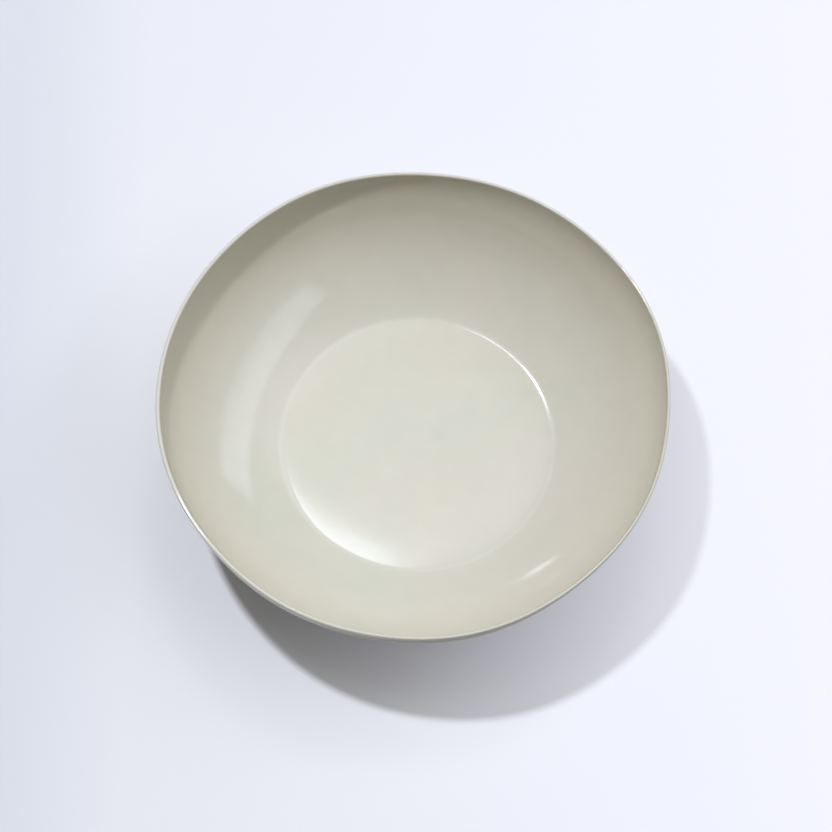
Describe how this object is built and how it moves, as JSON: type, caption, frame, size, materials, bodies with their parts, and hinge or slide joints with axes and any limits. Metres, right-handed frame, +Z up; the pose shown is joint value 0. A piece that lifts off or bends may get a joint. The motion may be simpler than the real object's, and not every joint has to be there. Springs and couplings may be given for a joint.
{
  "type": "wide serving bowl",
  "caption": "Wide shallow hand-thrown ceramic bowl with a glossy pale grey-green glaze, a flat round well and a low foot ring.",
  "frame": {"origin": "on the ground under the middle of the lip", "axes": "+Z up, out of the bowl's mouth; +Y towards the back of the picture's view, +X to its right"},
  "size_m": [0.3001, 0.2991, 0.0782],
  "materials": {
    "clay": "matte",
    "glaze": "gloss"
  },
  "bodies": {
    "root": {"clay_body": "clay", "foot_ring": "clay", "glaze_coat": "glaze", "base_glaze": "glaze"}
  },
  "joints": []
}
